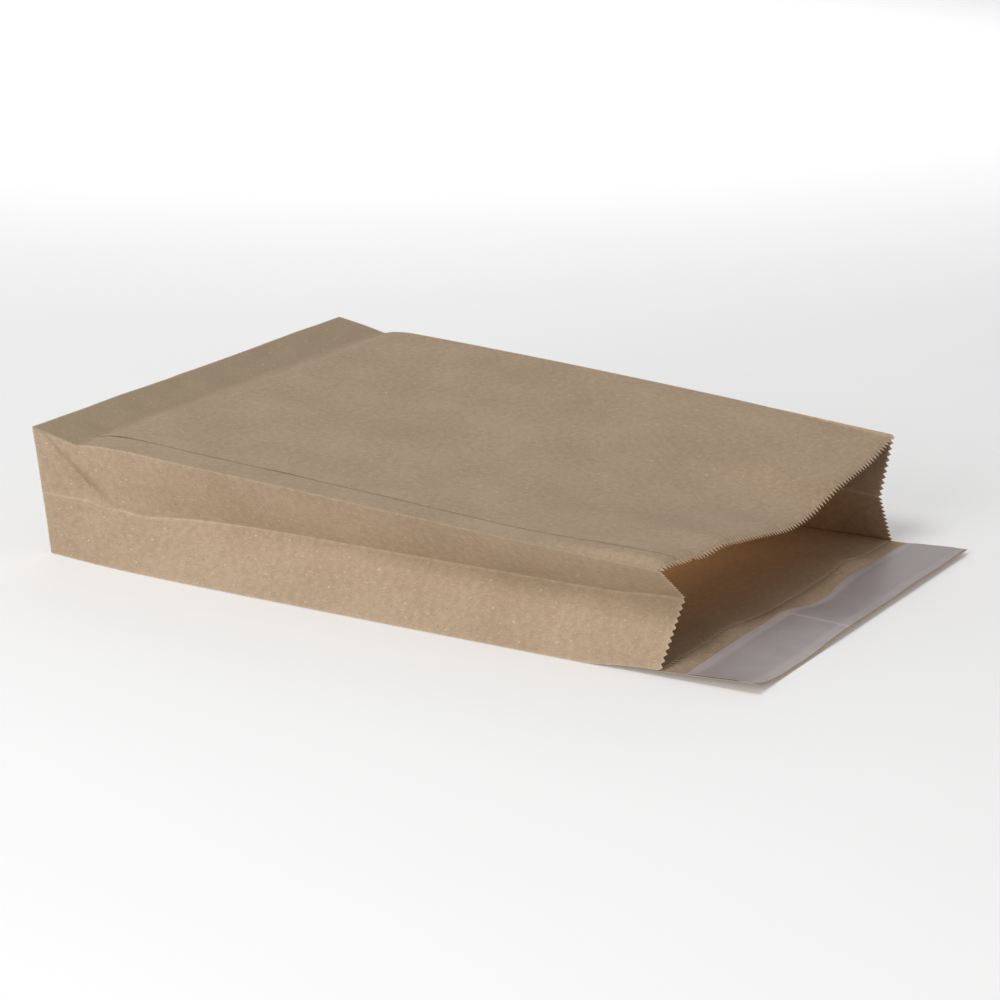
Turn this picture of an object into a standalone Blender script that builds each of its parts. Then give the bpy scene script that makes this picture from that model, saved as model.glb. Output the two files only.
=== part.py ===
"""Block-bottom paper mailer bag with side gussets, lying open on its back panel.

Metres, +Z up. The serrated mouth and the sealing flap face -Y, the glued block bottom faces +Y.
The bag's own directions are u, across it from the left side to the right side, and v, along it
from the block bottom to the mouth."""

import math

import bmesh
import bpy

# Sheet and folds
BAG_WIDTH = 0.300
TUBE_LENGTH = 0.390
GUSSET_DEPTH = 0.076
PAPER = 0.0004
GAP = 0.0003

# Block bottom
CREASE_SETBACK = 0.033
BOTTOM_LAP = 0.016
BOTTOM_PLIES = 2
CUT_WIDTH = 0.0003

# Lengthwise glued seam, on the top panel beside the left gusset
SEAM_INSET = 0.022
SEAM_LAP = 0.015
SEAM_SETTLE = 0.004

# Saw-cut mouth
TOOTH_PITCH = 0.0035
TOOTH_DEPTH = 0.0022
TOOTH_BAND = 0.006

# Sealing flap, its adhesive and its release liner
FLAP_LENGTH = 0.050
FLAP_LAP = 0.025
FLAP_SIDE_MARGIN = 0.0005
GLUE_THICKNESS = 0.0002
GLUE_LENGTH = 0.022
GLUE_SIDE_MARGIN = 0.006
LINER_THICKNESS = 0.0002
LINER_LENGTH = 0.039
LINER_EDGE_MARGIN = 0.002
LINER_SIDE_MARGIN = 0.001

# How the open bag has settled, at the bottom edge, crease, shoulder, middle and mouth in turn
SHOULDER_RUN = 0.022
LEFT_TOP_DROP = (0.0023, 0.0078, 0.0068, 0.0137, 0.0199)
RIGHT_TOP_DROP = (0.0005, 0.0040, 0.0012, 0.0020, 0.0105)
LEFT_TOP_OUTSET = (0.0020, 0.0035, 0.0030, 0.0005, 0.0045)
RIGHT_TOP_OUTSET = (-0.0007, -0.0020, -0.0020, -0.0005, -0.0085)
LEFT_BOTTOM_OUTSET = (-0.0054, -0.0015, 0.0005, 0.0015, -0.0003)
RIGHT_BOTTOM_OUTSET = (0.0030, 0.0010, 0.0, -0.0015, -0.0010)
FOLD_START = 0.040
FOLD_RUN = 0.060
CORNER_LIFT = 0.011
LIFT_REACH = 0.200

# Sag of the top panel and waves of the back panel and the flap
MIDDLE_SAG = 0.003
MOUTH_SAG = 0.011
SAG_REACH = 0.200
DENT_DEPTH = 0.009
DENT_PLACE = 0.56
DENT_SPREAD = 0.10
DENT_REACH = 0.110
WAVE_REACH = 0.050
LEFT_WAVE = 0.0042
LEFT_WAVE_PLACE = 0.20
LEFT_WAVE_SPREAD = 0.11
RIGHT_WAVE = 0.0035
RIGHT_WAVE_PLACE = 0.75
RIGHT_WAVE_SPREAD = 0.06
CORNER_CURL = 0.005
CURL_SPREAD = 0.030
SEAT_RAMP = 0.012

# Mesh divisions
CORNER_CELLS = 3
MIDDLE_CELLS = 17
LENGTH_CELLS = 12
FLAP_CELLS = 4

KRAFT_COLOUR = (0.40, 0.30, 0.20, 1.0)
GLUE_COLOUR = (0.80, 0.72, 0.50, 1.0)
LINER_COLOUR = (0.48, 0.43, 0.42, 1.0)

STATIONS = (0.0, CREASE_SETBACK, CREASE_SETBACK + SHOULDER_RUN, TUBE_LENGTH / 2, TUBE_LENGTH)
BOTTOM_THICKNESS = BOTTOM_PLIES * PAPER
FLAP_SEAT = PAPER + GAP
GLUE_LEVEL = PAPER + GAP
LINER_START = TUBE_LENGTH + FLAP_LENGTH - LINER_EDGE_MARGIN - LINER_LENGTH


def ease(share):
    """0 before the start, 1 after the end, and a smooth rise between them."""
    share = min(max(share, 0.0), 1.0)
    return share * share * (3 - 2 * share)


def bump(place, centre, spread):
    return math.exp(-(((place - centre) / spread) ** 2) / 2)


def mix(a, b, share):
    return a + (b - a) * share


def along(values, v):
    """A size that changes along the bag: straight up to the crease, then one smooth curve."""
    if v <= STATIONS[1]:
        return mix(values[0], values[1], v / STATIONS[1])
    places, values = STATIONS[1:], values[1:]
    slopes = [(b - a) / (q - p) for a, b, p, q in zip(values, values[1:], places, places[1:])]
    tangents = [slopes[0]]
    tangents += [(a + b) / 2 for a, b in zip(slopes, slopes[1:])]
    tangents.append(slopes[-1])
    i = 0
    while i < len(slopes) - 1 and v > places[i + 1]:
        i += 1
    run = places[i + 1] - places[i]
    t = (v - places[i]) / run
    return (
        values[i] * (2 * t**3 - 3 * t**2 + 1)
        + values[i + 1] * (3 * t**2 - 2 * t**3)
        + run * tangents[i] * (t**3 - 2 * t**2 + t)
        + run * tangents[i + 1] * (t**3 - t**2)
    )


def mouth_wave(u):
    """Height over the surface below, across the mouth of the back panel."""
    left = LEFT_WAVE * bump(u, LEFT_WAVE_PLACE, LEFT_WAVE_SPREAD)
    right = RIGHT_WAVE * bump(u, RIGHT_WAVE_PLACE, RIGHT_WAVE_SPREAD)
    return left + right


def lip_height(u, v):
    """Underside of the flap's paper, from the part glued below the bag to the free edge."""
    if v <= TUBE_LENGTH:
        return mouth_wave(u) * ease(1 - (TUBE_LENGTH - v) / WAVE_REACH)
    reach = (v - TUBE_LENGTH) / FLAP_LENGTH
    curl = CORNER_CURL * math.exp(-u * BAG_WIDTH / CURL_SPREAD)
    return mouth_wave(u) * (1 - ease(reach)) + curl * ease(reach)


def floor_height(u, v):
    """Underside of the back panel: lifted at the right of the block bottom, raised over the flap."""
    lift = CORNER_LIFT * max(1 - v / LIFT_REACH, 0.0) ** 2 * u ** (1 + 3 * v / LIFT_REACH)
    seat = FLAP_SEAT * ease((v - TUBE_LENGTH + FLAP_LAP + SEAT_RAMP) / SEAT_RAMP)
    return lift + seat + lip_height(u, v)


def fold_point(bottom, top, v, inward):
    """Middle crease of a gusset: its two halves keep their length, so it folds in as the top drops."""
    half = GUSSET_DEPTH / 2
    dx, dz = top[0] - bottom[0], top[1] - bottom[1]
    span = math.hypot(dx, dz)
    depth = math.sqrt(max(half**2 - (span / 2) ** 2, 0.0)) * ease((v - FOLD_START) / FOLD_RUN)
    middle_x, middle_z = (top[0] + bottom[0]) / 2, (top[1] + bottom[1]) / 2
    return middle_x + inward * depth * dz / span, middle_z - inward * depth * dx / span


def outline(v, inner):
    """The six creases of the section at v: left bottom, middle and top, right top, middle and bottom."""
    half = BAG_WIDTH / 2
    lift = floor_height(1, v) - floor_height(1, TUBE_LENGTH / 2)
    left_bottom = (-half - along(LEFT_BOTTOM_OUTSET, v), floor_height(0, v))
    left_top = (-half - along(LEFT_TOP_OUTSET, v), GUSSET_DEPTH - along(LEFT_TOP_DROP, v))
    right_bottom = (half + along(RIGHT_BOTTOM_OUTSET, v), floor_height(1, v))
    right_top = (
        half + along(RIGHT_TOP_OUTSET, v),
        GUSSET_DEPTH + lift - along(RIGHT_TOP_DROP, v),
    )
    points = [
        left_bottom,
        fold_point(left_bottom, left_top, v, 1),
        left_top,
        right_top,
        fold_point(right_bottom, right_top, v, -1),
        right_bottom,
    ]
    if not inner:
        return points
    inset = []
    for before, here, after in zip(points[-1:] + points, points, points[1:] + points[:1]):
        first = edge_normal(before, here)
        second = edge_normal(here, after)
        scale = PAPER / (1 + first[0] * second[0] + first[1] * second[1])
        shift = (scale * (first[0] + second[0]), scale * (first[1] + second[1]))
        inset.append((here[0] + shift[0], here[1] + shift[1]))
    return inset


def edge_normal(a, b):
    length = math.hypot(b[0] - a[0], b[1] - a[1])
    return (b[1] - a[1]) / length, (a[0] - b[0]) / length


def ply_rise(across, inner):
    """Step of one ply where the glued seam's plies end, on the outer or the inner skin."""
    start = SEAM_INSET + SEAM_LAP if inner else SEAM_INSET
    end = SEAM_INSET + SEAM_LAP
    rise = min(max((across - start) / CUT_WIDTH + 0.5, 0.0), 1.0)
    fall = min(max((across - end - CUT_WIDTH) / SEAM_SETTLE, 0.0), 1.0)
    return PAPER * (rise - fall)


def top_sag(u, v):
    arch = mix(MIDDLE_SAG, MOUTH_SAG, ease(1 - (TUBE_LENGTH - v) / SAG_REACH))
    arch *= ease((v - CREASE_SETBACK) / SHOULDER_RUN)
    dent = DENT_DEPTH * ease(1 - (TUBE_LENGTH - v) / DENT_REACH) * bump(u, DENT_PLACE, DENT_SPREAD)
    return arch * math.sin(math.pi * u) + dent


def tube_point(panel, u, v, inner):
    """A point of the tube. u runs from left to right on a panel and from bottom to top on a gusset."""
    creases = outline(v, inner)
    if panel in ("left", "right"):
        bottom, middle, top = creases[:3] if panel == "left" else creases[:2:-1]
        start, end, share = (bottom, middle, 2 * u) if u <= 0.5 else (middle, top, 2 * u - 1)
        return mix(start[0], end[0], share), -v, mix(start[1], end[1], share)
    if panel == "top":
        start, end = creases[2], creases[3]
        bend = ply_rise(u * BAG_WIDTH, inner) - top_sag(u, v)
    else:
        start, end = creases[0], creases[5]
        bend = floor_height(u, v) - mix(floor_height(0, v), floor_height(1, v), u)
    return mix(start[0], end[0], u), -v, mix(start[1], end[1], u) + bend


def columns_across():
    """Places of the mesh lines across a panel, as shares of its width."""
    cell = GUSSET_DEPTH / 2 / CORNER_CELLS
    middle = BAG_WIDTH - GUSSET_DEPTH
    places = [cell * i for i in range(CORNER_CELLS)]
    places += [GUSSET_DEPTH / 2 + middle * i / MIDDLE_CELLS for i in range(MIDDLE_CELLS + 1)]
    places += [BAG_WIDTH - cell * i for i in range(CORNER_CELLS)]
    seam_end = SEAM_INSET + SEAM_LAP
    steps = [place + side * CUT_WIDTH / 2 for place in (SEAM_INSET, seam_end) for side in (-1, 1)]
    steps.append(seam_end + SEAM_SETTLE)
    places = [p for p in places if all(abs(p - step) > 2 * CUT_WIDTH for step in steps)]
    return sorted(place / BAG_WIDTH for place in places + steps)


def lap_rows():
    """Mesh lines that the bag and the flap share where the flap is glued on."""
    start, end = TUBE_LENGTH - FLAP_LAP, TUBE_LENGTH - TOOTH_BAND
    return [start, (start + end) / 2, end]


def flap_rows():
    free = [TUBE_LENGTH + FLAP_LENGTH * i / FLAP_CELLS for i in range(FLAP_CELLS + 1)]
    return lap_rows() + free


def clipped(places, low, high):
    """The places between two limits, with the limits themselves."""
    return [low] + [place for place in places if low < place < high] + [high]


def rows_along(inner):
    rows = [BOTTOM_THICKNESS if inner else 0.0, CREASE_SETBACK / 3, CREASE_SETBACK * 2 / 3]
    rows += [CREASE_SETBACK, CREASE_SETBACK + SHOULDER_RUN / 2]
    start = CREASE_SETBACK + SHOULDER_RUN
    run = TUBE_LENGTH - FLAP_LAP - SEAT_RAMP - start
    rows += [start + run * i / LENGTH_CELLS for i in range(LENGTH_CELLS + 1)]
    return rows + lap_rows()


def ring_places():
    """The tube's mesh lines in order round it, each a panel and its place across that panel."""
    sides = [i / (2 * CORNER_CELLS) for i in range(2 * CORNER_CELLS + 1)]
    across = columns_across()
    ring = [("left", u) for u in sides[:-1]] + [("top", u) for u in across[:-1]]
    return ring + [("right", u) for u in sides[:0:-1]] + [("back", u) for u in across[:0:-1]]


def saw_places(panel, start, end):
    """Tips and roots of the saw cut between two mesh lines of one panel, and the lines themselves."""
    width = BAG_WIDTH if panel in ("top", "back") else GUSSET_DEPTH
    half_teeth = 2 * round(width / TOOTH_PITCH)
    low, high = min(start, end), max(start, end)
    margin = CUT_WIDTH / width
    inside = [i / half_teeth for i in range(half_teeth + 1) if low + margin < i / half_teeth < high - margin]
    places = [low] + inside + [high]
    return places if start < end else places[::-1]


def saw_length(panel, u):
    """Where the mouth is cut, between a root and a tip of its teeth."""
    width = BAG_WIDTH if panel in ("top", "back") else GUSSET_DEPTH
    phase = u * round(width / TOOTH_PITCH) % 1.0
    return TUBE_LENGTH - TOOTH_DEPTH * abs(2 * phase - 1)


def bottom_height(u, w):
    """How far the block bottom's folded flaps stand out, at u across it and w up it."""
    from_side = min(u, 1 - u) * BAG_WIDTH
    height = w * GUSSET_DEPTH
    from_edge = min(height, GUSSET_DEPTH - height)
    if from_edge <= 0 or from_side <= from_edge:
        return 0.0
    free_edge = (GUSSET_DEPTH - BOTTOM_LAP) / 2
    if height < free_edge:
        return PAPER
    return PAPER * mix(2, 1, ease((height - free_edge) / (GUSSET_DEPTH - free_edge)))


def bottom_rows(u):
    """Heights of the block bottom's mesh points in one column, grouped by the cell rows."""
    rows = [[i / (2 * CORNER_CELLS)] for i in range(2 * CORNER_CELLS + 1)]
    free_edge = (GUSSET_DEPTH - BOTTOM_LAP) / 2
    if free_edge < u * BAG_WIDTH < BAG_WIDTH - free_edge:
        step = CUT_WIDTH / 2
        cell = min(int(free_edge / GUSSET_DEPTH * 2 * CORNER_CELLS), 2 * CORNER_CELLS - 1)
        rows[cell] += [(free_edge - step) / GUSSET_DEPTH, (free_edge + step) / GUSSET_DEPTH]
    return rows


def bottom_point(u, w, inner):
    """A point inside the block bottom, spanned between the edges of the tube's first section."""
    v = BOTTOM_THICKNESS if inner else 0.0
    low, high = tube_point("back", u, v, inner), tube_point("top", u, v, inner)
    left, right = tube_point("left", w, v, inner), tube_point("right", w, v, inner)
    corners = [tube_point(side, end, v, inner) for side in ("left", "right") for end in (0, 1)]
    spans = []
    for i in (0, 2):
        flat = mix(mix(corners[0][i], corners[2][i], u), mix(corners[1][i], corners[3][i], u), w)
        spans.append(mix(low[i], high[i], w) + mix(left[i], right[i], u) - flat)
    return spans[0], -v if inner else bottom_height(u, w), spans[1]


def add_face(mesh, points, inner):
    """A face given by its points in order as seen from outside the bag, turned round on the inner skin."""
    mesh.faces.new(points[::-1] if inner else points)


def add_skin(mesh, inner):
    """One skin of the bag with its block bottom. Returns its rim, a list of points at the mouth."""
    ring = ring_places()
    count = len(ring)
    rows = rows_along(inner)
    tube = [[mesh.verts.new(tube_point(p, u, v, inner)) for p, u in ring] for v in rows]
    for near, far in zip(tube, tube[1:]):
        for i in range(count):
            j = (i + 1) % count
            add_face(mesh, [near[i], far[i], far[j], near[j]], inner)
    rim = []
    for i, (panel, start) in enumerate(ring):
        next_panel, next_place = ring[(i + 1) % count]
        if next_panel == panel:
            end = next_place
        else:
            end = 1.0 if panel in ("left", "top") else 0.0
        places = saw_places(panel, start, end)
        points = [tube_point(panel, u, saw_length(panel, u), inner) for u in places[:-1]]
        rim.append([mesh.verts.new(point) for point in points])
    last = tube[-1]
    for i in range(count):
        j = (i + 1) % count
        add_face(mesh, [last[i]] + rim[i] + [rim[j][0], last[j]], inner)
    add_bottom(mesh, ring, tube[0], inner)
    return [vert for group in rim for vert in group]


def add_bottom(mesh, ring, edge, inner):
    """The block bottom's mesh, on the points of the tube's first section."""
    across = columns_across()
    cells = 2 * CORNER_CELLS
    known = {}
    for (panel, u), vert in zip(ring, edge):
        if panel in ("left", "right"):
            known[(0 if panel == "left" else len(across) - 1, round(u * cells))] = vert
        else:
            known[(across.index(u), cells if panel == "top" else 0)] = vert
    columns = []
    for i, u in enumerate(across):
        column = []
        for j, heights in enumerate(bottom_rows(u)):
            group = []
            for w in heights:
                vert = known.get((i, j)) if not group else None
                group.append(vert or mesh.verts.new(bottom_point(u, w, inner)))
            column.append(group)
        columns.append(column)
    for left, right in zip(columns, columns[1:]):
        for j in range(cells):
            up = left[j] + left[j + 1][:1]
            down = right[j + 1][:1] + right[j][::-1]
            add_face(mesh, up + down, inner)


def finish(mesh, name, material):
    bmesh.ops.triangulate(mesh, faces=mesh.faces)
    data = bpy.data.meshes.new(name)
    mesh.to_mesh(data)
    mesh.free()
    data.materials.append(material)
    part = bpy.data.objects.new(name, data)
    bpy.context.collection.objects.link(part)
    return part


def make_bag(material):
    mesh = bmesh.new()
    outer = add_skin(mesh, False)
    inner = add_skin(mesh, True)
    for i in range(len(outer)):
        j = (i + 1) % len(outer)
        mesh.faces.new((outer[i], inner[i], inner[j], outer[j]))
    return finish(mesh, "bag_body", material)


def make_strip(name, material, side_margin, start, end, height, thickness):
    """A flat strip across the flap, following its waves, with its underside at the given height."""
    mesh = bmesh.new()
    skins = []
    across = clipped(
        columns_across(), side_margin / BAG_WIDTH, 1 - side_margin / BAG_WIDTH
    )
    for level in (height, height + thickness):
        rows = []
        for v in clipped(flap_rows(), start, end):
            points = [((u - 0.5) * BAG_WIDTH, -v, lip_height(u, v) + level) for u in across]
            rows.append([mesh.verts.new(point) for point in points])
        for near, far in zip(rows, rows[1:]):
            for i in range(len(across) - 1):
                add_face(mesh, [near[i], near[i + 1], far[i + 1], far[i]], level > height)
        right_side = [row[-1] for row in rows[1:-1]]
        left_side = [row[0] for row in rows[-2:0:-1]]
        skins.append(rows[0] + right_side + rows[-1][::-1] + left_side)
    low, high = skins
    for i in range(len(low)):
        j = (i + 1) % len(low)
        mesh.faces.new((low[i], high[i], high[j], low[j]))
    return finish(mesh, name, material)


def make_flap(material):
    start, end = TUBE_LENGTH - FLAP_LAP, TUBE_LENGTH + FLAP_LENGTH
    return make_strip("closing_flap", material, FLAP_SIDE_MARGIN, start, end, 0.0, PAPER)


def make_glue(material):
    start = LINER_START + (LINER_LENGTH - GLUE_LENGTH) / 2
    end = start + GLUE_LENGTH
    margin = GLUE_SIDE_MARGIN
    return make_strip("adhesive_strip", material, margin, start, end, GLUE_LEVEL, GLUE_THICKNESS)


def make_liner(material):
    end = LINER_START + LINER_LENGTH
    margin = LINER_SIDE_MARGIN
    level = GLUE_LEVEL + GLUE_THICKNESS + GAP
    return make_strip("release_liner", material, margin, LINER_START, end, level, LINER_THICKNESS)


def make_material(name, colour, roughness):
    material = bpy.data.materials.new(name)
    material.use_nodes = True
    shader = material.node_tree.nodes["Principled BSDF"]
    shader.inputs["Base Color"].default_value = colour
    shader.inputs["Roughness"].default_value = roughness
    shader.inputs["Metallic"].default_value = 0.0
    return material


def centre_on_origin(parts):
    """Puts the middle of the whole bag's box over the origin."""
    points = [vert.co for part in parts for vert in part.data.vertices]
    middle_x = (min(p.x for p in points) + max(p.x for p in points)) / 2
    middle_y = (min(p.y for p in points) + max(p.y for p in points)) / 2
    for part in parts:
        part.location = (-middle_x, -middle_y, 0)


def main():
    for old in list(bpy.data.objects):
        bpy.data.objects.remove(old, do_unlink=True)
    kraft = make_material("kraft_paper", KRAFT_COLOUR, 0.85)
    glue = make_material("hot_melt", GLUE_COLOUR, 0.35)
    release_paper = make_material("release_paper", LINER_COLOUR, 0.45)
    parts = [make_bag(kraft), make_flap(kraft), make_glue(glue), make_liner(release_paper)]
    centre_on_origin(parts)


main()
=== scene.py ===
"""Looks of the paper mailer bag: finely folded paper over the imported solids, with the finishes,
floor, light and camera. Metres, +Z up, in the part's own frame. The tables of the settled shape
are in millimetres, against the distance along the bag from its block bottom, and those of the
mouth and the flap against the share of the bag's width from its left edge."""

import math

import bpy
from mathutils import Matrix, Vector, noise


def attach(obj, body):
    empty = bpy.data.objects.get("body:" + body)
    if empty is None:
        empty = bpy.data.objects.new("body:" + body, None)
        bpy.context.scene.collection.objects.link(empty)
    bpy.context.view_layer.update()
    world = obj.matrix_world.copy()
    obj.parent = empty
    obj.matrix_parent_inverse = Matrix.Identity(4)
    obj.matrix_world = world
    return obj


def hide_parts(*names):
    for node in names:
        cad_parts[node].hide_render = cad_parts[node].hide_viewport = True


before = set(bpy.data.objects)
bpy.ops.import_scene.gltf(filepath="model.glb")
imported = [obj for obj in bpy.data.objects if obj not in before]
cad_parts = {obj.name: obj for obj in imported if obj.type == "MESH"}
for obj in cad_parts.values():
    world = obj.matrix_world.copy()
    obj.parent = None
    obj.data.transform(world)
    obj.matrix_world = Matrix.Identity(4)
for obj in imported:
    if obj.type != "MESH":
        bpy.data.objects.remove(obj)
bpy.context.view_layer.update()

# Sheet and folds
WIDTH = 0.300
LENGTH = 0.390
GUSSET = 0.076
PLY = 0.0003
CENTRE_X = 0.00077
END_Y = 0.2196

# Lengthwise glued seam: the slack of its upper ply is in shares of the ply's lift
SEAM_EDGE = 0.022
SEAM_END = 0.037
SEAM_SETTLE = 0.004
SEAM_PLIES = 1.4
SEAM_TUCK = 0.2
FLUSH_TUCK = 1.2
SEAM_STEP = 0.0001
TUCK_RUN = (0.003, 0.0001)
SLACK_MIN = 0.5
SLACK_RANGE = 1.7
SLACK_WAVES = 38
SLACK_SEED = 4.3
SLACK_PEAK = (0.044, 0.009)
SLACK_START = 0.026
SLACK_RISE = 0.010

# Saw-cut mouth
TOOTH_DEPTH = {"top": 0.0029, "back": 0.0023, "left": 0.0018, "right": 0.0022}
MOUTH_ROWS = (0.0085, 0.0060, 0.0042, 0.0027, 0.0)
MOUTH_CURL = 0.0037
CURL_REACH = 0.0085
CURL_FADE = (1 / 30, 1 / 14)

# Mesh
FOLD_RADIUS = 0.0004
FOLD_CLEAR = 0.0007
MERGE_REACH = 0.00004
PANEL_CELLS = 172
GUSSET_CELLS = 44
FINE_ROWS_END = 0.056
MIDDLE_ROWS_END = 0.084
PLAIN_ROWS = 25
CURL_ROW_GAP = 0.004
STRIP_COLUMNS = 170
STRIP_ROW = 0.0018
SMOOTH_BELOW = 52

# Flap, adhesive and liner
FLAP_START = 0.365
FLAP_END = 0.440
FLAP_MARGIN = 0.0005
FLAP_SKEW = (0.0015, -0.0040)
SEAT_RISE = 0.012
GLUE_START = 0.4075
GLUE_END = 0.4295
GLUE_MARGIN = 0.006
GLUE_THICKNESS = 0.0002
LINER_START = 0.399
LINER_END = 0.4388
LINER_MARGIN = 0.001
LINER_THICKNESS = 0.00015
LINER_STEP = 0.005
LINER_OVERLAP = (0.006, 0.005)
LINER_DRIFT = 0.005
DRIFT_BEND = (0.565, 0.055)
DRIFT_CORNER = 0.03
DRIFT_CORNER_SHARE = 0.7
CLEARANCE = 0.0003

# Settled shape: heights of the top creases, and how far each crease stands out sideways
LEFT_TOP = ((0, 73.7), (12, 71.2), (22, 69.2), (29, 67.7), (34, 68.6), (42, 69.1), (60, 69.1),
            (100, 66.9), (160, 64.3), (240, 60.6), (320, 57.8), (390, 56.2))
RIGHT_TOP = ((0, 86.6), (12, 85.1), (20, 84.0), (28, 82.7), (36, 81.2), (39.2, 80.8), (43, 81.8),
             (48, 82.5), (56, 83.0), (68, 82.7), (136, 79.6), (220, 75.1), (300, 70.6),
             (370, 66.6), (390, 65.6))
LEFT_TOP_OUT = ((0, 2.0), (33, 3.5), (60, 3.0), (195, 0.5), (300, 1.5), (390, 4.5))
RIGHT_TOP_OUT = ((0, -0.7), (33, -2.0), (60, -2.0), (195, -0.5), (300, -2.5), (390, -6.8))
LEFT_BOTTOM_OUT = ((0, -5.4), (33, -1.5), (60, 0.5), (195, 1.5), (390, -0.3))
RIGHT_BOTTOM_OUT = ((0, 3.0), (33, 1.0), (60, 0.0), (195, -1.5), (390, -1.0))

# How far each gusset's middle crease has folded in, as a share, and how far the left one hangs
LEFT_FOLD = ((0, 0.0), (14, 0.08), (28, 0.22), (38, 0.24), (50, 0.22), (65, 0.40), (80, 0.65),
             (100, 0.90), (120, 1.0), (390, 1.0))
RIGHT_FOLD = ((0, 0.0), (30, 0.1), (45, 0.05), (70, 0.45), (100, 1.0), (300, 1.0), (390, 0.92))
LEFT_FOLD_DROP = ((0, 1.2), (10, 0.2), (20, -0.5), (30, -0.9), (35, -0.1), (40, 0.7), (50, 1.5),
                  (60, 2.5), (66, 3.4), (75, 3.0), (90, 2.0), (130, 0.5), (200, -0.6),
                  (300, -2.2), (390, -2.7))

# Block bottom's end out of square, at the bottom, middle and top of each side, and its lift
END_SKEW = {"left": (1.8, -0.8, -4.3), "right": (1.0, 2.5, 4.1)}
SKEW_REACH = 0.070
CORNER_LIFT = 0.011
LIFT_REACH = 0.200
END_SWELL = 0.0012

# Crease across the top panel, with the dents of the strip between it and the end
END_CREASE = (0.030, 0.039)
CREASE_DEPTH = 0.0005
CREASE_SPREAD = 0.003
CREASE_FADE = 6
CREASE_SWELL = 0.0008
SWELL_PLACE = (0.024, 0.018)
END_DENTS = ((0.12, 0.020), (0.26, 0.015), (0.41, 0.010), (0.52, 0.024), (0.70, 0.013),
             (0.86, 0.019))
DENT_DEPTH = 0.0017
DENT_SPREAD = (0.024, 0.0055)

# Pockets of the gusset's paper beside the block bottom's diagonal folds
DIAGONAL_RUN = 0.060
POCKET_REACH = (0.0125, 0.0025)
POCKET_SLOPE = 0.85
POCKET_ROUNDING = 0.35
POCKET_FADE = 1.6
LOWER_POCKET_REACH = 0.010
LOWER_POCKET_DEPTH = 0.0006
LOWER_POCKET_ROUNDING = 0.6

# Handled paper's dents: how many to a metre across and along, and how deep
WIDE_DENTS = (9, 7, 0.0006)
SMALL_DENTS = (34, 22, 0.00018)
END_DENTS_DEPTH = 0.0007
END_DENTS_PLACE = (0.018, 0.012)
DENT_FADE = 12
DENT_SEEDS = {"top": 20, "left": 3, "right": -3}
SMALL_SEED_STEP = 7

# Sag of the top panel across the mouth
MOUTH_SAG = ((0, 0.0), (0.04, 0.5), (0.085, 2.4), (0.12, 3.6), (0.15, 5.6), (0.18, 6.4),
             (0.25, 6.8), (0.30, 9.3), (0.36, 12.0), (0.44, 16.0), (0.53, 19.9), (0.62, 19.7),
             (0.68, 16.8), (0.74, 13.3), (0.82, 10.9), (0.89, 9.2), (0.96, 4.8), (1, 1.5))
MIDDLE_ARCH = 0.003
MOUTH_ARCH = 0.011
ARCH_RISE = 0.030
ARCH_REACH = 0.200
SAG_REACH = 0.110

# Waves of the back panel's mouth, the liner's inner edge and the flap's free edge
MOUTH_WAVE = ((0, 2.9), (0.03, 2.7), (0.09, 3.2), (0.18, 3.0), (0.26, 4.6), (0.34, 2.5),
              (0.42, 0.5), (0.50, 0.0), (0.60, 0.2), (0.70, 1.4), (0.77, 3.6), (0.86, 0.7), (1, 0))
LINER_WAVE = ((0, 3.7), (0.05, 1.6), (0.15, 2.0), (0.25, 2.9), (0.33, 2.9), (0.42, 3.2),
              (0.445, 2.6), (0.51, 0.1), (0.60, 0.0), (0.66, 0.2), (0.73, 1.2), (0.83, 0.5), (1, 0.2))
EDGE_WAVE = ((0, 6.5), (0.03, 3.6), (0.10, 0.9), (0.18, 0.3), (0.26, 0.4), (0.34, 1.8),
             (0.40, 2.2), (0.60, 2.0), (0.70, 2.5), (0.85, 2.0), (1, 2.5))
WAVE_REACH = 0.050

# Folded flaps of the block bottom: its tucked corners, its lap and where the lap fades out
TUCK_BLEND = 0.0015
LAP_HEIGHT = 0.030
LAP_BLEND = 0.0008
LAP_FADE = (0.046, 0.030)
FLAP_EDGE_BLEND = 0.002

# The flat sheet as the finishes see it: round the bag in one direction, along it in the other
GIRTH = 2 * (WIDTH + GUSSET)
TOP_END = WIDTH - SEAM_EDGE + 0.001
LAP_START = GIRTH - SEAM_EDGE - 0.0005
BOTTOM_GAP = 0.010
# Width of the paler line along each fold, and its strength at the mouth edge: rubbed wear and painted
# highlight
FOLD_WEAR_AND_HIGHLIGHT_WIDTH = 0.0006
MOUTH_WEAR_AND_HIGHLIGHT = 0.7


def ease(share):
    """0 before the start, 1 after the end, and a smooth rise between them."""
    share = min(max(share, 0.0), 1.0)
    return share * share * (3 - 2 * share)


def bump(place, centre, spread):
    """1 at the centre, falling off evenly to both sides."""
    return math.exp(-(((place - centre) / spread) ** 2) / 2)


def mix(a, b, share):
    """From a at share 0 to b at share 1."""
    return a + (b - a) * share


def curve(table, place):
    """The value at a place on the smooth curve through the table's points."""
    i = 0
    while i < len(table) - 2 and place > table[i + 1][0]:
        i += 1
    (p, a), (q, b) = table[i], table[i + 1]
    slope = (b - a) / (q - p)
    before, after = slope, slope
    if i > 0:
        before = (slope + (a - table[i - 1][1]) / (p - table[i - 1][0])) / 2
    if i < len(table) - 2:
        after = (slope + (table[i + 2][1] - b) / (table[i + 2][0] - q)) / 2
    run = q - p
    t = min(max((place - p) / run, 0.0), 1.0)
    rise = 3 * t**2 - 2 * t**3
    return (
        a * (1 - rise)
        + b * rise
        + run * before * (t**3 - 2 * t**2 + t)
        + run * after * (t**3 - t**2)
    )


def settled(table, v):
    """A table's value at a distance along the bag, both in metres."""
    return curve(table, v * 1000) / 1000


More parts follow.
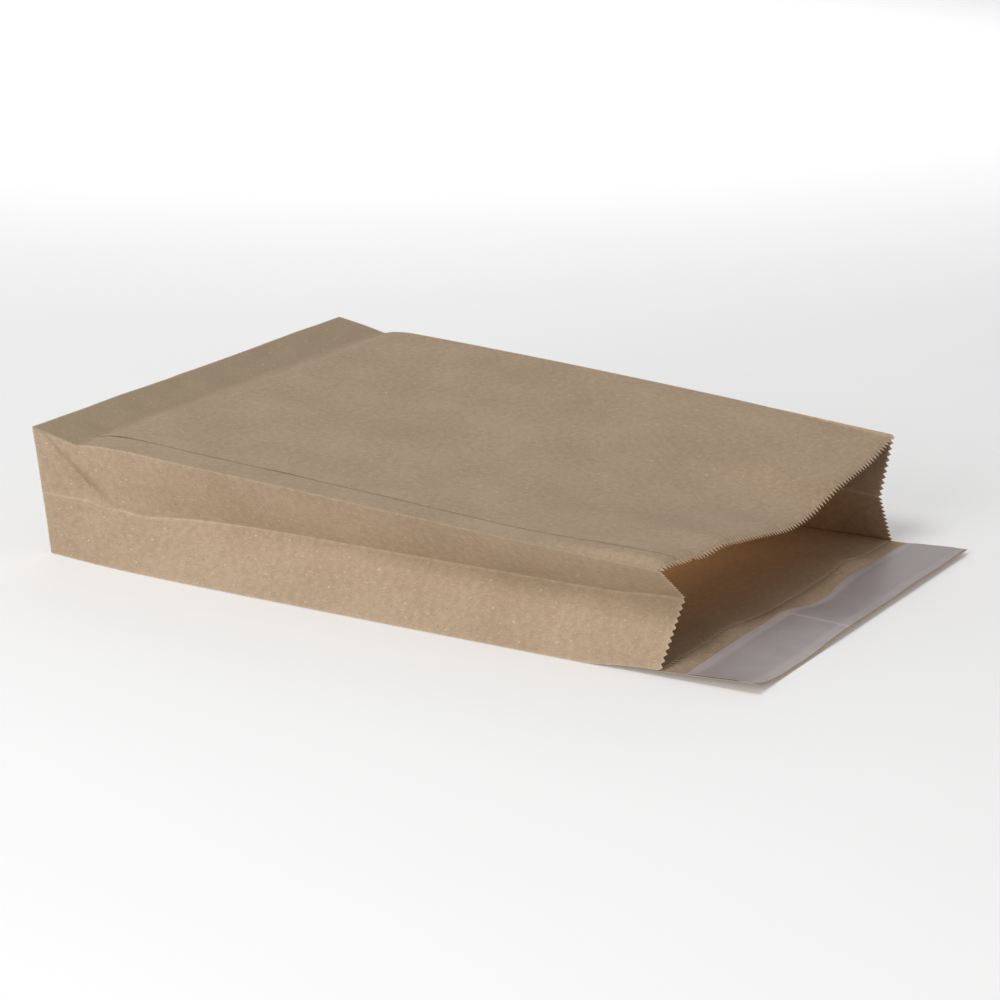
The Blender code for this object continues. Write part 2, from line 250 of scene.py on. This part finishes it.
def lip_height(u, v):
    """Underside of the flap's paper."""
    mouth = curve(MOUTH_WAVE, u) / 1000
    if v <= LENGTH:
        return mouth * ease(1 - (LENGTH - v) / WAVE_REACH)
    liner = curve(LINER_WAVE, u) / 1000
    if v <= LINER_START:
        return mix(mouth, liner, ease((v - LENGTH) / (LINER_START - LENGTH)))
    reach = (v - LINER_START) / (FLAP_END - LINER_START)
    return max(mix(liner, curve(EDGE_WAVE, u) / 1000, reach), 0.0)


def floor_height(u, v):
    """Underside of the back panel, lifted at the right of the block bottom and over the flap."""
    lift = CORNER_LIFT * max(1 - v / LIFT_REACH, 0.0) ** 2 * u ** (1 + 3 * v / LIFT_REACH)
    seat = (PLY + CLEARANCE) * ease((v - FLAP_START + SEAT_RISE) / SEAT_RISE)
    return lift + seat + lip_height(u, v)


def fold_point(bottom, top, share, inward):
    """Middle crease of a gusset: its two halves keep their length, so it folds in as the top drops."""
    dx, dz = top[0] - bottom[0], top[1] - bottom[1]
    span = math.hypot(dx, dz)
    depth = math.sqrt(max((GUSSET / 2) ** 2 - (span / 2) ** 2, 0.0)) * share
    middle_x, middle_z = (top[0] + bottom[0]) / 2, (top[1] + bottom[1]) / 2
    return middle_x + inward * depth * dz / span, middle_z - inward * depth * dx / span


sections = {}


def section(v):
    """The creases of the bag at v: for each gusset its bottom, middle and top crease."""
    key = round(v, 6)
    if key not in sections:
        half = WIDTH / 2
        left_bottom = (-half - settled(LEFT_BOTTOM_OUT, v), floor_height(0, v))
        left_top = (-half - settled(LEFT_TOP_OUT, v), settled(LEFT_TOP, v))
        right_bottom = (half + settled(RIGHT_BOTTOM_OUT, v), floor_height(1, v))
        right_top = (half + settled(RIGHT_TOP_OUT, v), settled(RIGHT_TOP, v))
        left_fold = fold_point(left_bottom, left_top, curve(LEFT_FOLD, v * 1000), 1)
        left_fold = (left_fold[0], left_fold[1] - settled(LEFT_FOLD_DROP, v))
        right_fold = fold_point(right_bottom, right_top, curve(RIGHT_FOLD, v * 1000), -1)
        sections[key] = {
            "left": (left_bottom, left_fold, left_top),
            "right": (right_bottom, right_fold, right_top),
        }
    return sections[key]


def top_sag(u, v):
    """How far the top panel hangs below the line between its creases."""
    to_mouth = LENGTH - v
    arch = mix(MIDDLE_ARCH, MOUTH_ARCH, ease(1 - to_mouth / ARCH_REACH))
    arch *= ease((v - mix(*END_CREASE, u)) / ARCH_RISE) * math.sin(math.pi * u)
    free = ease(u / CURL_FADE[0]) * ease((1 - u) / CURL_FADE[1])
    dent = curve(MOUTH_SAG, u) / 1000 - MOUTH_ARCH * math.sin(math.pi * u) - MOUTH_CURL * free
    curl = MOUTH_CURL * free * max(1 - to_mouth / CURL_REACH, 0.0) ** 2
    return arch + dent * ease(1 - to_mouth / SAG_REACH) + curl


def end_skew(side, w, v):
    """How far the block bottom's end stands back from square, in metres."""
    low, middle, high = END_SKEW[side]
    skew = mix(low, middle, 2 * w) if w < 0.5 else mix(middle, high, 2 * w - 1)
    return skew / 1000 * max(1 - v / SKEW_REACH, 0.0) ** 2


def soft_dents(x, v, seed):
    """Shallow dents and swells of handled paper, deepest near the block bottom."""
    many_x, many_v, depth = WIDE_DENTS
    wide = noise.noise(Vector((x * many_x, v * many_v, seed))) * depth
    many_x, many_v, depth = SMALL_DENTS
    depth += END_DENTS_DEPTH * bump(v, *END_DENTS_PLACE)
    return wide + noise.noise(Vector((x * many_x, v * many_v, seed + SMALL_SEED_STEP))) * depth


def gusset_dip(v, w):
    """How far a gusset's paper stands in beside the block bottom's diagonal folds."""
    if w >= 0.5:
        past = v - (1 - w) * DIAGONAL_RUN
        reach = mix(*POCKET_REACH, w)
        depth = POCKET_SLOPE * reach * math.sin(math.pi * (2 * w - 1)) ** POCKET_ROUNDING
    else:
        past = v - w * DIAGONAL_RUN
        reach = LOWER_POCKET_REACH
        depth = LOWER_POCKET_DEPTH * math.sin(2 * math.pi * w) ** LOWER_POCKET_ROUNDING
    if past <= 0:
        return 0.0
    if past < reach:
        return depth * past / reach
    return depth * math.exp(-(((past - reach) / (POCKET_FADE * reach)) ** 2))


def gusset_point(side, w, v):
    """A point of a gusset's outer skin, at w from its bottom crease to its top one."""
    bottom, middle, top = section(v)[side]
    inward = 1 if side == "left" else -1
    start, end, share = (bottom, middle, 2 * w) if w <= 0.5 else (middle, top, 2 * w - 1)
    dip = gusset_dip(v, w) if 0 < w < 1 else 0.0
    dip += soft_dents(w * GUSSET, v, DENT_SEEDS[side]) * math.sin(math.pi * share)
    x = mix(start[0], end[0], share) + inward * dip
    z = mix(start[1], end[1], share)
    return x, v + end_skew(side, w, v), z


def top_bend(u, v):
    """How far the top panel stands above the line between its creases."""
    inside = min(1, DENT_FADE * u, DENT_FADE * (1 - u))
    bend = soft_dents(u * WIDTH, v, DENT_SEEDS["top"]) * inside - top_sag(u, v)
    past = v - mix(*END_CREASE, u)
    bend += CREASE_SWELL * math.sin(math.pi * u) * bump(past, *SWELL_PLACE)
    inside = ease(CREASE_FADE * u) * ease(CREASE_FADE * (1 - u))
    bend -= CREASE_DEPTH * bump(past, 0.0, CREASE_SPREAD) * inside
    for across_at, along_at in END_DENTS:
        bend -= DENT_DEPTH * bump(u, across_at, DENT_SPREAD[0]) * bump(v, along_at, DENT_SPREAD[1])
    return bend


def tube_point(panel, u, v, lift=0.0):
    """A point of the bag's outer skin. u runs from left to right, or from bottom to top on a gusset."""
    if panel in ("left", "right"):
        return gusset_point(panel, u, v)
    creases = section(v)
    if panel == "top":
        level, bend = 2, lift + top_bend(u, v)
    else:
        level, bend = 0, floor_height(u, v) - mix(floor_height(0, v), floor_height(1, v), u)
    start, end = creases["left"][level], creases["right"][level]
    skew = mix(end_skew("left", level / 2, v), end_skew("right", level / 2, v), u)
    return mix(start[0], end[0], u), v + skew, mix(start[1], end[1], u) + bend


def to_world(point):
    """From a place across, along and above the bag to the part's own frame."""
    return Vector((point[0] + CENTRE_X, END_Y - point[1], point[2]))


def beside_folds(cells, length, folds, extra=()):
    """Even places along a length, with a pair close beside each fold and none between the pairs."""
    places = [length * i / cells for i in range(cells + 1)]
    near = [fold + side * FOLD_RADIUS for fold in folds for side in (-1, 0, 1)] + list(extra)
    near = [place for place in near if 0 <= place <= length]
    kept = [place for place in places if all(abs(place - other) > FOLD_CLEAR for other in near)]
    return sorted(kept + near)


seam_places = (SEAM_EDGE - SEAM_STEP, SEAM_EDGE, SEAM_END, SEAM_END + SEAM_SETTLE)
across = beside_folds(PANEL_CELLS, WIDTH, (0, WIDTH), seam_places)
upward = beside_folds(GUSSET_CELLS, GUSSET, (0, GUSSET / 2, GUSSET))


def over_lift(place):
    """How far the seam's upper ply lies above the panel."""
    return PLY * SEAM_PLIES * (1 - ease((place - SEAM_END) / SEAM_SETTLE))


def seam_slack(v):
    """The upper ply stands off the panel unevenly along the seam, and lies flush in the end strip."""
    waves = max(noise.noise(Vector((v * SLACK_WAVES, SLACK_SEED, 0))), 0.0)
    slack = SLACK_MIN + SLACK_RANGE * waves + bump(v, *SLACK_PEAK)
    return slack * ease((v - SLACK_START) / SLACK_RISE)


def sheet_columns():
    """Panel, share across it, lift, and distance round the bag from the seam's upper edge on."""
    columns = [
        ("top", place / WIDTH, over_lift(place), place - SEAM_EDGE)
        for place in across if place >= SEAM_EDGE
    ]
    travelled = WIDTH - SEAM_EDGE
    for place in upward[-2::-1]:
        columns.append(("right", place / GUSSET, 0.0, travelled + GUSSET - place))
    travelled += GUSSET
    for place in across[-2::-1]:
        columns.append(("back", place / WIDTH, 0.0, travelled + WIDTH - place))
    travelled += WIDTH
    for place in upward[1:]:
        columns.append(("left", place / GUSSET, 0.0, travelled + place))
    travelled += GUSSET
    for place in across[1:]:
        if place <= SEAM_END:
            columns.append(("top", place / WIDTH, 0.0, travelled + place))
    return columns


def sheet_rows():
    """Distances along the bag, close together at the diagonal folds and at the mouth."""
    step = DIAGONAL_RUN / GUSSET_CELLS
    rows = [0.0, step]
    while rows[-1] < MIDDLE_ROWS_END:
        rows.append(rows[-1] + step * (1 if rows[-1] < FINE_ROWS_END else 2))
    start, end = rows[-1], LENGTH - MOUTH_ROWS[0] - CURL_ROW_GAP
    rows += [mix(start, end, i / PLAIN_ROWS) for i in range(1, PLAIN_ROWS + 1)]
    return rows + [LENGTH - back for back in MOUTH_ROWS]


def saw(panel, u, shift):
    """Share of the tooth depth that is cut away, with two mesh cells to a tooth."""
    cells = PANEL_CELLS if panel in ("top", "back") else GUSSET_CELLS
    phase = (u * cells / 2 + shift) % 1.0
    return abs(2 * phase - 1)


def bottom_step(u, w):
    """How far the block bottom's folded flaps stand out, at u across it and w up it."""
    side = min(u, 1 - u) * WIDTH
    height = w * GUSSET
    edge = min(height, GUSSET - height)
    if edge <= 0:
        return 0.0
    tucked = ease((side - edge) / TUCK_BLEND)
    lap = ease((height - LAP_HEIGHT) / LAP_BLEND)
    fade = 1 - ease((height - LAP_FADE[0]) / LAP_FADE[1])
    return PLY * tucked * ease(edge / FLAP_EDGE_BLEND) * (1 + lap * fade)


def bottom_point(u, w):
    """A point of the block bottom, spanned between the edges of the tube's end."""
    low, high = tube_point("back", u, 0), tube_point("top", u, 0)
    left, right = tube_point("left", w, 0), tube_point("right", w, 0)
    corners = [tube_point(side, end, 0) for side in ("left", "right") for end in (0, 1)]
    point = []
    for i in range(3):
        flat = mix(mix(corners[0][i], corners[2][i], u), mix(corners[1][i], corners[3][i], u), w)
        point.append(mix(low[i], high[i], w) + mix(left[i], right[i], u) - flat)
    swell = END_SWELL * math.sin(math.pi * u) * math.sin(math.pi * w)
    return point[0], point[1] - bottom_step(u, w) - swell, point[2]


def select_only(piece):
    bpy.ops.object.select_all(action="DESELECT")
    piece.select_set(True)
    bpy.context.view_layer.objects.active = piece


def grid_piece(name, columns, rows, place, sheet_at, fold_at):
    """A grid primitive bent to shape: place, sheet_at and fold_at give each crossing its place in
    the world, its place on the flat sheet and its crease wear with painted highlight."""
    bpy.ops.object.select_all(action="DESELECT")
    bpy.ops.mesh.primitive_grid_add(x_subdivisions=columns - 1, y_subdivisions=rows - 1, size=1)
    piece = bpy.context.object
    piece.name = piece.data.name = name
    mesh = piece.data
    flat = []
    # The crease attribute marks the paler folds and mouth edge: rubbed wear and painted highlight
    wear_and_highlight = mesh.attributes.new("crease", "FLOAT", "POINT")
    for index, vert in enumerate(mesh.vertices):
        j, i = divmod(index, columns)
        vert.co = place(i, j)
        flat.append(sheet_at(i, j))
        wear_and_highlight.data[index].value = fold_at(i, j)
    layer = mesh.uv_layers.active
    layer.name = "sheet"
    for loop in mesh.loops:
        layer.data[loop.index].uv = flat[loop.vertex_index]
    return piece


def finish_piece(piece, thickness, material, node):
    """Gives the sheet its thickness inwards and its finish, and puts it in its node's place."""
    select_only(piece)
    wall = piece.modifiers.new("wall", "SOLIDIFY")
    wall.thickness = thickness
    wall.offset = -1
    bpy.ops.object.modifier_apply(modifier="wall")
    bpy.ops.object.shade_smooth_by_angle(angle=math.radians(SMOOTH_BELOW))
    piece.data.materials.clear()
    piece.data.materials.append(material)
    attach(piece, "root")
    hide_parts(node)


def face_away(piece, centre):
    """Turns a sheet's faces round if they look towards the centre."""
    outward = sum((p.center - centre).dot(p.normal) * p.area for p in piece.data.polygons)
    if outward < 0:
        select_only(piece)
        bpy.ops.object.mode_set(mode="EDIT")
        bpy.ops.mesh.select_all(action="SELECT")
        bpy.ops.mesh.flip_normals()
        bpy.ops.object.mode_set(mode="OBJECT")


def fold_wear_and_highlight(place, folds):
    """1 on a fold and 0 just beside it."""
    return max(max(0.0, 1 - abs(place - fold) / FOLD_WEAR_AND_HIGHLIGHT_WIDTH) for fold in folds)


def make_bag(material):
    """The tube and the block bottom, joined along their shared edge."""
    columns, rows = sheet_columns(), sheet_rows()

    def place(i, j):
        panel, u, lift, _ = columns[i]
        v = rows[j]
        under = panel == "top" and i > len(columns) // 2
        if j == len(rows) - 1:
            v -= TOOTH_DEPTH[panel] * saw(panel, u, 0.5 if under else 0.0)
        slack = seam_slack(v)
        x, along, z = tube_point(panel, u, v, lift * slack)
        if under:
            flush = 1 - min(slack, 1.0)
            run = mix(*TUCK_RUN, flush)
            z -= PLY * (SEAM_TUCK + FLUSH_TUCK * flush) * ease((u * WIDTH - SEAM_EDGE + run) / run)
        return to_world((x, along, z))

    # Paler paper along the folds and the mouth edge: rubbed wear and painted highlight
    def wear_and_highlight(i, j):
        panel, u, _, _ = columns[i]
        if panel in ("left", "right"):
            along = fold_wear_and_highlight(u * GUSSET, (0, GUSSET / 2, GUSSET))
        else:
            along = fold_wear_and_highlight(u * WIDTH, (0, WIDTH))
        return max(along, fold_wear_and_highlight(rows[j], (0,)), MOUTH_WEAR_AND_HIGHLIGHT * fold_wear_and_highlight(rows[j], (LENGTH,)))

    def end_wear_and_highlight(i, j):
        return max(fold_wear_and_highlight(across[i], (0, WIDTH)), fold_wear_and_highlight(upward[j], (0, GUSSET)))

    sheet = grid_piece(
        "paper_bag", len(columns), len(rows), place, lambda i, j: (columns[i][3], rows[j]), wear_and_highlight
    )
    end = grid_piece(
        "block_bottom", len(across), len(upward),
        lambda i, j: to_world(bottom_point(across[i] / WIDTH, upward[j] / GUSSET)),
        lambda i, j: (across[i] - SEAM_EDGE, upward[j] - GUSSET - BOTTOM_GAP),
        end_wear_and_highlight,
    )
    bag_centre = Vector((0, 0, 0.04))
    face_away(sheet, bag_centre)
    face_away(end, bag_centre)
    select_only(sheet)
    end.select_set(True)
    bpy.ops.object.join()
    bpy.ops.object.mode_set(mode="EDIT")
    bpy.ops.mesh.select_all(action="SELECT")
    bpy.ops.mesh.remove_doubles(threshold=MERGE_REACH)
    bpy.ops.object.mode_set(mode="OBJECT")
    finish_piece(sheet, PLY, material, "bag_body")


def make_strip(name, node, margin, start, end, level, thickness, material, drift=0.0):
    """A strip that lies on the flap and follows its waves. drift is how far its inner edge moves
    out at the flap's bend."""
    columns = [mix(margin, WIDTH - margin, i / STRIP_COLUMNS) for i in range(STRIP_COLUMNS + 1)]
    count = round((end - start) / STRIP_ROW)
    rows = [mix(start, end, j / count) for j in range(count + 1)]

    def place(i, j):
        u, v = columns[i] / WIDTH, rows[j]
        corner = DRIFT_CORNER_SHARE * bump(u, 0, DRIFT_CORNER)
        v += drift * (bump(u, *DRIFT_BEND) + corner) * (1 - j / count) ** 2
        height = lip_height(u, v) + level(v) + thickness
        v += mix(*FLAP_SKEW, u) * max(v - LENGTH, 0.0) / (FLAP_END - LENGTH)
        return to_world(((u - 0.5) * WIDTH, v, height))

    strip = grid_piece(
        name, len(columns), len(rows), place,
        lambda i, j: (columns[i], rows[j]), lambda i, j: 0.0,
    )
    far_below = Vector((0, -0.2, -5))
    face_away(strip, far_below)
    finish_piece(strip, thickness, material, node)


def liner_level(v):
    """The liner lies over the adhesive and comes down to the flap on both sides of it."""
    before, after = LINER_OVERLAP
    over = ease((v - GLUE_START + before) / LINER_STEP) * ease((GLUE_END + after - v) / LINER_STEP)
    return PLY + CLEARANCE / 3 + (GLUE_THICKNESS + CLEARANCE / 3) * over


class Wire:
    """An output of a shader node that takes part in sums as a number does."""

    def __init__(self, finish, socket):
        self.finish = finish
        self.socket = socket

    def math(self, operation, first, second=0.0):
        return self.finish.add("ShaderNodeMath", {"operation": operation}, {0: first, 1: second})

    def __add__(self, other):
        return self.math("ADD", self, other)

    def __radd__(self, other):
        return self.math("ADD", other, self)

    def __sub__(self, other):
        return self.math("SUBTRACT", self, other)

    def __rsub__(self, other):
        return self.math("SUBTRACT", other, self)

    def __mul__(self, other):
        return self.math("MULTIPLY", self, other)

    def __rmul__(self, other):
        return self.math("MULTIPLY", other, self)

    def __gt__(self, other):
        return self.math("GREATER_THAN", self, other)

    def __lt__(self, other):
        return self.math("LESS_THAN", self, other)

    def __abs__(self):
        return self.math("ABSOLUTE", self)


class Finish:
    """A material whose nodes are added one by one."""

    def __init__(self, name):
        self.material = bpy.data.materials.new(name)
        self.material.use_nodes = True
        self.nodes = self.material.node_tree.nodes
        self.links = self.material.node_tree.links
        self.shader = self.nodes["Principled BSDF"]

    def join(self, node, inputs):
        for key, value in inputs.items():
            if isinstance(value, Wire):
                self.links.new(value.socket, node.inputs[key])
            else:
                node.inputs[key].default_value = value

    def add(self, kind, settings, inputs, output=0):
        node = self.nodes.new(kind)
        for key, value in settings.items():
            setattr(node, key, value)
        self.join(node, inputs)
        return Wire(self, node.outputs[output])

    def sheet(self):
        """Place on the flat sheet, whole and as its two parts."""
        place = self.add("ShaderNodeUVMap", {"uv_map": "sheet"}, {})
        first = self.add("ShaderNodeSeparateXYZ", {}, {"Vector": place}, 0)
        second = self.add("ShaderNodeSeparateXYZ", {}, {"Vector": place}, 1)
        return place, first, second

    def noise(self, vector, scale, detail=2.0, roughness=0.5):
        inputs = {"Vector": vector, "Scale": scale, "Detail": detail, "Roughness": roughness}
        return self.add("ShaderNodeTexNoise", {"noise_dimensions": "3D"}, inputs)

    def fit(self, value, low, high, to_low=0.0, to_high=1.0):
        inputs = {"Value": value, "From Min": low, "From Max": high, "To Min": to_low, "To Max": to_high}
        return self.add("ShaderNodeMapRange", {"interpolation_type": "SMOOTHSTEP"}, inputs)

    def turned(self, vector, angle, scale):
        inputs = {"Vector": vector, "Rotation": (0, 0, angle), "Scale": scale}
        return self.add("ShaderNodeMapping", {}, inputs)

    def blend(self, share, first, second):
        settings = {"data_type": "RGBA", "blend_type": "MIX"}
        return self.add("ShaderNodeMix", settings, {0: share, 6: first, 7: second}, 2)

    def relief(self, height):
        return self.add("ShaderNodeBump", {}, {"Height": height, "Strength": 1.0, "Distance": 1.0})


KRAFT_DARK = (0.330, 0.236, 0.150, 1)
KRAFT_LIGHT = (0.430, 0.320, 0.216, 1)
END_TONE = (0.290, 0.222, 0.138, 1)
# Paler colour of the folds and the mouth edge: rubbed wear and painted highlight
FOLD_WEAR_AND_HIGHLIGHT = (0.560, 0.450, 0.330, 1)
FIBRE = (0.640, 0.530, 0.390, 1)
SPECK = (0.120, 0.075, 0.040, 1)

# Edge of the greener strip at the end of the top panel, and its slant across the panel
STRIP_EDGE = (0.0230, 0.0330)
STRIP_SLANT = 0.032

# Fine fibres: angle, and how many to a metre across and along them
STRANDS = ((0.25, (2100, 230, 1)), (1.35, (1900, 260, 1)), (2.45, (2300, 250, 1)))

# Coarse fibres and specks: how many to a metre, radius in cells, share left out, strength, colour.
# The first number also turns each pattern, so that no two of them line up
SPECKS = (
    (95, 0.055, 0.55, 0.50, FIBRE),
    (170, 0.060, 0.60, 0.32, FIBRE),
    (125, 0.050, 0.70, 0.50, SPECK),
)
SPECK_STRETCH = (1, 0.7, 1)
SPECK_RAGGEDNESS = 0.0013


def kraft_finish():
    """Recycled kraft: cloudy brown with pale fibres, dark specks, and folds paler from rubbing and from
    painted highlight.
    """
    finish = Finish("recycled_kraft")
    sheet, round_bag, along = finish.sheet()
    cloud = finish.noise(sheet, 22, 3)
    mottle = finish.noise(sheet, 260, 4, 0.65)
    grain = finish.noise(sheet, 1500, 3, 0.6)
    tone = cloud * 0.22 + mottle * 0.40 + grain * 0.38
    colour = finish.blend(finish.fit(tone, 0.38, 0.62), KRAFT_DARK, KRAFT_LIGHT)
    on_top = round_bag < TOP_END
    lap = round_bag > LAP_START
    strip = 1 - finish.fit(along - STRIP_SLANT * round_bag * on_top, *STRIP_EDGE)
    strip = (along > -BOTTOM_GAP / 2) * strip * (on_top + lap)
    colour = finish.blend(strip * (0.45 + 0.6 * cloud), colour, END_TONE)
    strands = 0.0
    for angle, scale in STRANDS:
        streak = finish.noise(finish.turned(sheet, angle, scale), 1.0, 1.0)
        strands = finish.fit(streak, 0.64, 0.76) + strands
    colour = finish.blend(strands * 0.36, colour, FIBRE)
    wobble = finish.add("ShaderNodeTexNoise", {}, {"Vector": sheet, "Scale": 1300, "Detail": 1}, 1)
    shift = {0: wobble, "Scale": SPECK_RAGGEDNESS}
    wobble = finish.add("ShaderNodeVectorMath", {"operation": "SCALE"}, shift)
    uneven = finish.add("ShaderNodeVectorMath", {"operation": "ADD"}, {0: sheet, 1: wobble})
    for size, cut, rare, strength, paint in SPECKS:
        inputs = {"Vector": finish.turned(uneven, size, SPECK_STRETCH), "Scale": size}
        spot = finish.add("ShaderNodeTexVoronoi", {"voronoi_dimensions": "2D"}, inputs)
        pick = finish.add("ShaderNodeTexVoronoi", {"voronoi_dimensions": "2D"}, inputs, 1)
        chosen = finish.add("ShaderNodeSeparateColor", {}, {"Color": pick}) > rare
        colour = finish.blend((1 - finish.fit(spot, cut * 0.5, cut)) * chosen * strength, colour, paint)
    # Folds and the mouth edge made paler: partly rubbed wear, partly painted highlight
    crease = finish.add("ShaderNodeAttribute", {"attribute_name": "crease"}, {}, 2)
    colour = finish.blend(crease * (mottle * 1.1), colour, FOLD_WEAR_AND_HIGHLIGHT)
    relief = finish.relief(cloud * 0.0005 + mottle * 0.00005 + grain * 0.00003 + strands * 0.00002)
    rough = finish.fit(mottle, 0.3, 0.7, 0.74, 0.90)
    finish.join(finish.shader, {"Base Color": colour, "Roughness": rough, "Normal": relief})
    finish.join(finish.shader, {"Specular IOR Level": 0.35})
    return finish.material


# Greyish liner, and the paler colour of its mottling and of its painted highlights and painted light
LINER_BASE = (0.285, 0.248, 0.246, 1)
LINER_PALE_AND_HIGHLIGHT = (0.455, 0.412, 0.412, 1)

# Painted highlights where the liner bends: pale bands along its inner and outer edges, and a ridge
# across it
INNER_HIGHLIGHT = (LINER_START + 0.004, LINER_START + 0.0075)
OUTER_HIGHLIGHT = (LINER_END - 0.008, LINER_END - 0.004)
RIDGE_HIGHLIGHT_PLACE = 0.1245
RIDGE_HIGHLIGHT_WIDTH = (0.0006, 0.0022)


def liner_finish():
    """Greyish release paper, with painted highlights where it bends and painted light growing towards
    its left end.
    """
    finish = Finish("release_liner")
    sheet, across_flap, along = finish.sheet()
    cloud = finish.noise(sheet, 60, 3)
    grain = finish.noise(finish.turned(sheet, 0.0, (1, 0.25, 1)), 1400, 3, 0.6)
    # Painted highlights: pale bands along both long edges and on the ridge across the liner
    inner_highlight = 1 - finish.fit(along, *INNER_HIGHLIGHT)
    outer_highlight = finish.fit(along, *OUTER_HIGHLIGHT)
    ridge_highlight = 1 - finish.fit(abs(across_flap - RIDGE_HIGHLIGHT_PLACE), *RIDGE_HIGHLIGHT_WIDTH)
    tone_and_painted_light = inner_highlight * 0.50 + outer_highlight * 0.30 + ridge_highlight * 0.5 + (cloud - 0.5) * 0.5 + (grain - 0.5) * 0.4
    # Painted light: the liner lighter towards its left end, where it curls up
    tone_and_painted_light = tone_and_painted_light + 0.36 - 2.4 * across_flap
    colour = finish.blend(finish.fit(tone_and_painted_light, -0.3, 0.9), LINER_BASE, LINER_PALE_AND_HIGHLIGHT)
    relief = finish.relief(cloud * 0.0002 + grain * 0.00002)
    finish.join(finish.shader, {"Base Color": colour, "Roughness": 0.46, "Normal": relief})
    return finish.material


GLUE_DARK = (0.62, 0.50, 0.30, 1)
GLUE_PALE = (0.78, 0.68, 0.46, 1)


def glue_finish():
    """Streaky hot-melt adhesive."""
    finish = Finish("hot_melt_adhesive")
    sheet = finish.add("ShaderNodeUVMap", {"uv_map": "sheet"}, {})
    streak = finish.noise(finish.turned(sheet, 0.0, (900, 120, 1)), 1.0, 2)
    colour = finish.blend(finish.fit(streak, 0.3, 0.7), GLUE_DARK, GLUE_PALE)
    relief = finish.relief(streak * 0.0001)
    finish.join(finish.shader, {"Base Color": colour, "Roughness": 0.32, "Normal": relief})
    return finish.material


FLOOR_DROP = 0.0003
FLOOR_TONES = ((0.82, 0.82, 0.82, 1), (0.85, 0.85, 0.85, 1))
FLOOR_GLOW = 0.13


def make_floor():
    bpy.ops.object.select_all(action="DESELECT")
    bpy.ops.mesh.primitive_plane_add(size=30, location=(0, 0, -FLOOR_DROP))
    floor = bpy.context.object
    floor.name = "studio_floor"
    finish = Finish("pale_floor")
    place = finish.add("ShaderNodeTexCoord", {}, {}, 3)
    colour = finish.blend(finish.noise(place, 3.0, 2), *FLOOR_TONES)
    finish.join(finish.shader, {"Base Color": colour, "Roughness": 0.9})
    finish.join(finish.shader, {"Emission Color": (1, 1, 1, 1), "Emission Strength": FLOOR_GLOW})
    floor.data.materials.append(finish.material)


DAYLIGHT = 0.36


def make_light(name, place, target, size, power, colour=(1, 1, 1)):
    lamp = bpy.data.lights.new(name, "AREA")
    lamp.shape = "DISK"
    lamp.size = size
    lamp.energy = power
    lamp.color = colour
    light = bpy.data.objects.new(name, lamp)
    bpy.context.collection.objects.link(light)
    light.location = place
    light.rotation_euler = (Vector(target) - Vector(place)).to_track_quat("-Z", "Y").to_euler()
    return light


def make_studio():
    world = bpy.data.worlds.new("studio")
    world.use_nodes = True
    background = world.node_tree.nodes["Background"]
    background.inputs["Color"].default_value = (1, 1, 1, 1)
    background.inputs["Strength"].default_value = DAYLIGHT
    bpy.context.scene.world = world
    bpy.context.scene.view_settings.view_transform = "Standard"
    bag = (0, 0, 0.03)
    make_light("key_softbox", (-1.48, 0.12, 2.05), bag, size=1.0, power=24)
    make_light("side_softbox", (-2.5, 0.1, 0.9), bag, size=1.2, power=27)
    make_light("mouth_fill", (0.45, -2.5, 0.26), bag, size=0.5, power=9, colour=(1, 0.9, 0.8))
    make_light("backdrop_softbox", (2.1, 1.5, 0.9), (2.1, 1.5, 0), size=3.0, power=25)
    glow = make_light(
        "light_through_paper", (0.03, 0.07, 0.052), (0.03, 0.07, 0),
        size=0.25, power=0.31, colour=(1, 0.67, 0.36),
    )
    glow.visible_camera = False


CAMERA_PLACE = (-1.4211, -0.7958, 0.4743)
CAMERA_VIEW = (0.8397, 0.4757, -0.2620)
CAMERA_ROLL = 1.3853
CAMERA_LENS = 107.17


def make_camera():
    """A camera at the photo's viewing angle."""
    forward = Vector(CAMERA_VIEW).normalized()
    right = forward.cross(Vector((0, 0, 1))).normalized()
    above = right.cross(forward)
    roll = math.radians(CAMERA_ROLL)
    turned_right = right * math.cos(roll) + above * math.sin(roll)
    turned_above = above * math.cos(roll) - right * math.sin(roll)
    lens = bpy.data.cameras.new("photo_camera")
    lens.lens = CAMERA_LENS
    lens.sensor_width = 36
    lens.clip_end = 100
    camera = bpy.data.objects.new("photo_camera", lens)
    bpy.context.collection.objects.link(camera)
    axes = Matrix((turned_right, turned_above, -forward)).transposed()
    camera.matrix_world = Matrix.Translation(CAMERA_PLACE) @ axes.to_4x4()
    bpy.context.scene.camera = camera


kraft = kraft_finish()
make_bag(kraft)
make_strip(
    "sealing_flap", "closing_flap", FLAP_MARGIN, FLAP_START, FLAP_END,
    lambda v: 0.0, PLY, kraft,
)
make_strip(
    "adhesive_band", "adhesive_strip", GLUE_MARGIN, GLUE_START, GLUE_END,
    lambda v: PLY + CLEARANCE / 3, GLUE_THICKNESS, glue_finish(),
)
make_strip(
    "liner_strip", "release_liner", LINER_MARGIN, LINER_START, LINER_END,
    liner_level, LINER_THICKNESS, liner_finish(), LINER_DRIFT,
)
make_floor()
make_studio()
make_camera()
